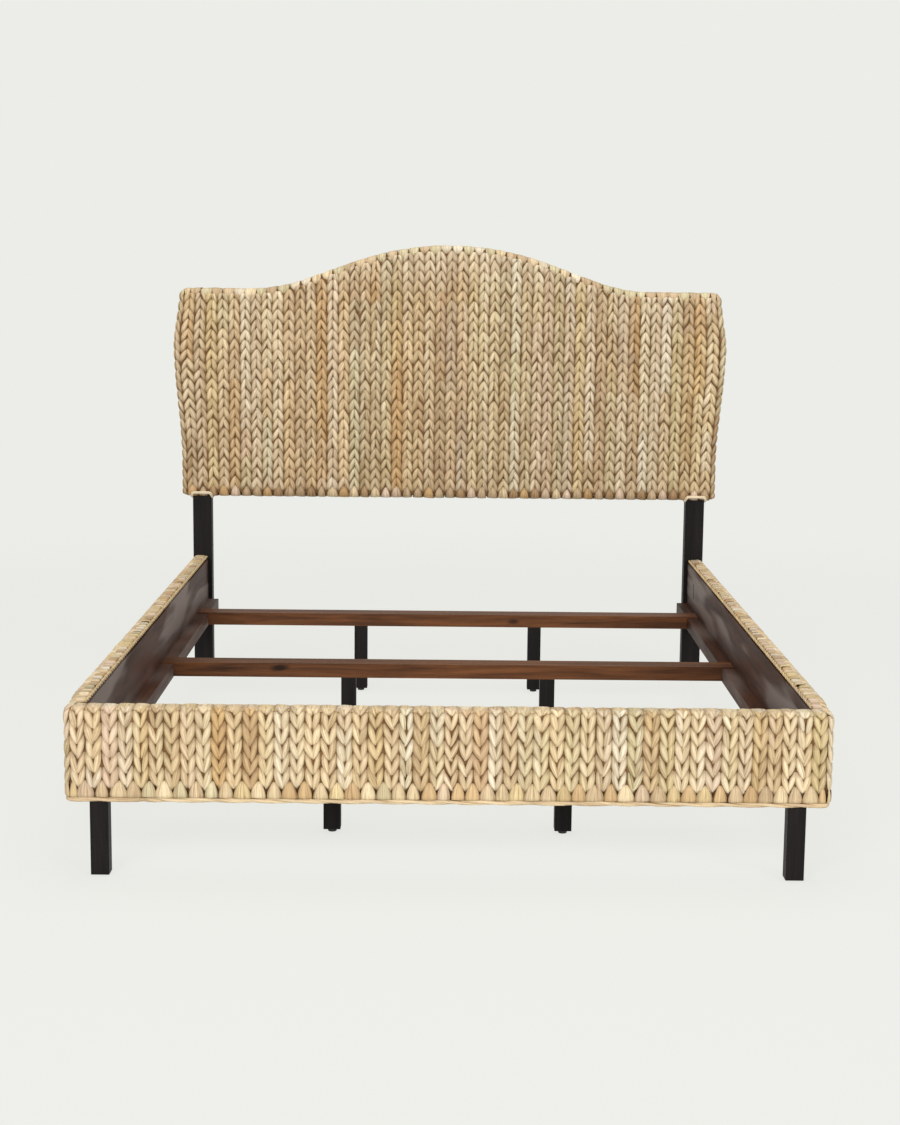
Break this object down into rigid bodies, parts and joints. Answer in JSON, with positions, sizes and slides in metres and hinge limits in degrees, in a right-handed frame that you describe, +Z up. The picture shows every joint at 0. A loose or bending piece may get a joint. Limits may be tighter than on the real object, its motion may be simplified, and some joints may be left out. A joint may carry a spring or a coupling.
{
  "type": "woven bed",
  "caption": "Bed frame with a winged camelback headboard, low footboard and side rails covered in plaited leaf fibre, on black legs with stained cross slats.",
  "frame": {"origin": "on the floor under the middle of the bed", "axes": "+X to the right seen from the foot, +Y from the foot to the headboard, +Z up"},
  "size_m": [1.75, 2.2, 1.384],
  "materials": {
    "woven_fibre": "plaited natural leaf fibre, dry and slightly glossy",
    "fibre_cord": "twisted natural fibre cord",
    "black_wood": "solid wood, satin black stain",
    "dark_wood": "wood, dark brown stain, satin",
    "red_wood": "solid wood, reddish brown stain",
    "raw_wood": "unfinished frame timber under the weave",
    "steel": "zinc plated",
    "black_plastic": "black moulded glide"
  },
  "bodies": {
    "bed_frame": {"headboard_weave": "woven_fibre", "footboard_weave": "woven_fibre", "left_rail_weave": "woven_fibre", "right_rail_weave": "woven_fibre", "headboard_back_cord": "fibre_cord", "post_cords": "fibre_cord", "footboard_cords": "fibre_cord", "left_rail_cords": "fibre_cord", "right_rail_cords": "fibre_cord", "left_rear_post": "black_wood", "right_rear_post": "black_wood", "left_front_leg": "black_wood", "right_front_leg": "black_wood", "foot_left_centre_leg": "black_wood", "foot_right_centre_leg": "black_wood", "middle_left_centre_leg": "black_wood", "middle_right_centre_leg": "black_wood", "head_left_centre_leg": "black_wood", "head_right_centre_leg": "black_wood", "headboard_back_panel": "dark_wood", "footboard_lining": "dark_wood", "left_rail_board": "dark_wood", "right_rail_board": "dark_wood", "left_cleat": "dark_wood", "right_cleat": "dark_wood", "foot_slat": "red_wood", "middle_slat": "red_wood", "head_slat": "red_wood", "headboard_top_rail": "raw_wood", "headboard_bottom_rail": "raw_wood", "headboard_left_stile": "raw_wood", "headboard_right_stile": "raw_wood", "left_wing_board": "raw_wood", "right_wing_board": "raw_wood", "footboard_top_rail": "raw_wood", "footboard_bottom_rail": "raw_wood", "footboard_left_block": "raw_wood", "footboard_right_block": "raw_wood", "left_rail_battens": "raw_wood", "right_rail_battens": "raw_wood", "back_panel_screws": "steel", "cleat_screws": "steel", "slat_screws": "steel", "leveller_sleeves": "steel", "centre_leg_screws": "steel", "head_hook_plates": "steel", "head_slot_plates": "steel", "foot_hook_plates": "steel", "foot_slot_plates": "steel", "corner_glides": "black_plastic"},
    "foot_left_leveller_foot": {"foot_left_leveller": "black_plastic"},
    "foot_right_leveller_foot": {"foot_right_leveller": "black_plastic"},
    "middle_left_leveller_foot": {"middle_left_leveller": "black_plastic"},
    "middle_right_leveller_foot": {"middle_right_leveller": "black_plastic"},
    "head_left_leveller_foot": {"head_left_leveller": "black_plastic"},
    "head_right_leveller_foot": {"head_right_leveller": "black_plastic"}
  },
  "joints": [
    {"name": "foot_left_leveller_screw", "type": "slide", "parent": "bed_frame", "child": "foot_left_leveller_foot", "axis": [0, 0, -1], "range_m": [0, 0.012]},
    {"name": "foot_right_leveller_screw", "type": "slide", "parent": "bed_frame", "child": "foot_right_leveller_foot", "axis": [0, 0, -1], "range_m": [0, 0.012]},
    {"name": "middle_left_leveller_screw", "type": "slide", "parent": "bed_frame", "child": "middle_left_leveller_foot", "axis": [0, 0, -1], "range_m": [0, 0.012]},
    {"name": "middle_right_leveller_screw", "type": "slide", "parent": "bed_frame", "child": "middle_right_leveller_foot", "axis": [0, 0, -1], "range_m": [0, 0.012]},
    {"name": "head_left_leveller_screw", "type": "slide", "parent": "bed_frame", "child": "head_left_leveller_foot", "axis": [0, 0, -1], "range_m": [0, 0.012]},
    {"name": "head_right_leveller_screw", "type": "slide", "parent": "bed_frame", "child": "head_right_leveller_foot", "axis": [0, 0, -1], "range_m": [0, 0.012]}
  ]
}
